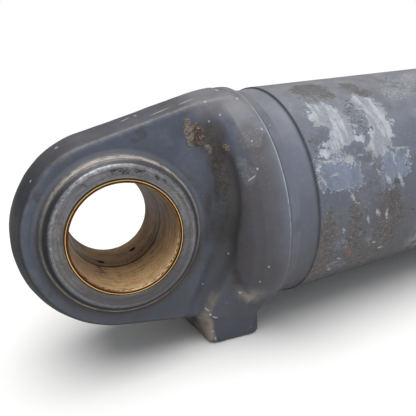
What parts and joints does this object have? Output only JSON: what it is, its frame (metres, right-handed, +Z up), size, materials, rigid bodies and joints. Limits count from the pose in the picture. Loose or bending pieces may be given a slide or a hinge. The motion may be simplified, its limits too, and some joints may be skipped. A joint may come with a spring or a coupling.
{
  "type": "telescopic hydraulic cylinder",
  "caption": "Single-acting telescopic hydraulic cylinder with a cast base eye, welded barrel, nested sleeves and a rod eye, both eyes bushed for pins.",
  "frame": {"origin": "centre of the base eye's pin bore", "axes": "+X along the barrel towards the rod eye, +Y along both pin bores at rest, +Z up with the oil port pad facing -Z"},
  "size_m": [1.2495, 0.203, 0.2185],
  "materials": {
    "painted_casting": "satin paint over cast steel, scuffed and stained",
    "painted_weld": "satin paint over dressed weld metal",
    "painted_barrel": "worn grey paint with scuffs and rust spots",
    "bush_bronze": "rolled bronze, oiled and streaked",
    "bearing_bronze": "turned bronze",
    "phosphated_steel": "dark phosphated turned steel",
    "ground_steel": "ground steel with an oil film",
    "chromed_steel": "hard chrome, fine ground",
    "turned_steel": "turned steel",
    "spring_steel": "oiled spring steel",
    "seal_rubber": "matt rubber",
    "wiper_rubber": "matt rubber",
    "guide_polymer": "brown fabric-filled resin",
    "zinc_steel": "yellow zinc plate"
  },
  "bodies": {
    "base": {"base_eye_casting": "painted_casting", "base_eye_bush_near": "bush_bronze", "base_eye_bush_far": "bush_bronze", "base_grease_nipple": "zinc_steel", "base_weld_ring": "painted_weld", "barrel_tube": "painted_barrel", "barrel_gland_nut": "phosphated_steel", "barrel_gland_static_seal": "seal_rubber", "barrel_guide_ring": "guide_polymer", "barrel_rod_seal": "seal_rubber", "barrel_wiper": "wiper_rubber"},
    "stage_1": {"sleeve_1_tube": "ground_steel", "sleeve_1_foot_retainer": "spring_steel", "sleeve_1_foot_bearing": "bearing_bronze", "sleeve_1_stop_ring": "spring_steel", "sleeve_1_gland_nut": "phosphated_steel", "sleeve_1_gland_static_seal": "seal_rubber", "sleeve_1_guide_ring": "guide_polymer", "sleeve_1_rod_seal": "seal_rubber", "sleeve_1_wiper": "wiper_rubber"},
    "stage_2": {"sleeve_2_tube": "ground_steel", "sleeve_2_foot_retainer": "spring_steel", "sleeve_2_foot_bearing": "bearing_bronze", "sleeve_2_stop_ring": "spring_steel", "sleeve_2_gland_nut": "phosphated_steel", "sleeve_2_gland_static_seal": "seal_rubber", "sleeve_2_guide_ring": "guide_polymer", "sleeve_2_rod_seal": "seal_rubber", "sleeve_2_wiper": "wiper_rubber"},
    "plunger_guide": {"plunger_foot_bearing": "bearing_bronze"},
    "plunger": {"plunger_tube": "chromed_steel", "plunger_foot_plug": "turned_steel", "plunger_foot_retainer": "spring_steel", "plunger_stop_ring": "spring_steel", "rod_eye_weld_ring": "painted_weld", "rod_eye_forging": "painted_casting", "rod_eye_bush_near": "bush_bronze", "rod_eye_bush_far": "bush_bronze", "rod_grease_nipple": "zinc_steel", "bleed_screw": "zinc_steel"}
  },
  "joints": [
    {"name": "sleeve_1_slide", "type": "slide", "parent": "base", "child": "stage_1", "axis": [1, 0, 0], "range_m": [0, 0.668]},
    {"name": "sleeve_2_slide", "type": "slide", "parent": "stage_1", "child": "stage_2", "axis": [1, 0, 0], "range_m": [0, 0.683]},
    {"name": "plunger_slide", "type": "slide", "parent": "stage_2", "child": "plunger_guide", "axis": [1, 0, 0], "range_m": [0, 0.698]},
    {"name": "rod_eye_turn", "type": "hinge", "parent": "plunger_guide", "child": "plunger", "pos_m": [1.1, 0, 0], "axis": [1, 0, 0], "continuous": true}
  ]
}
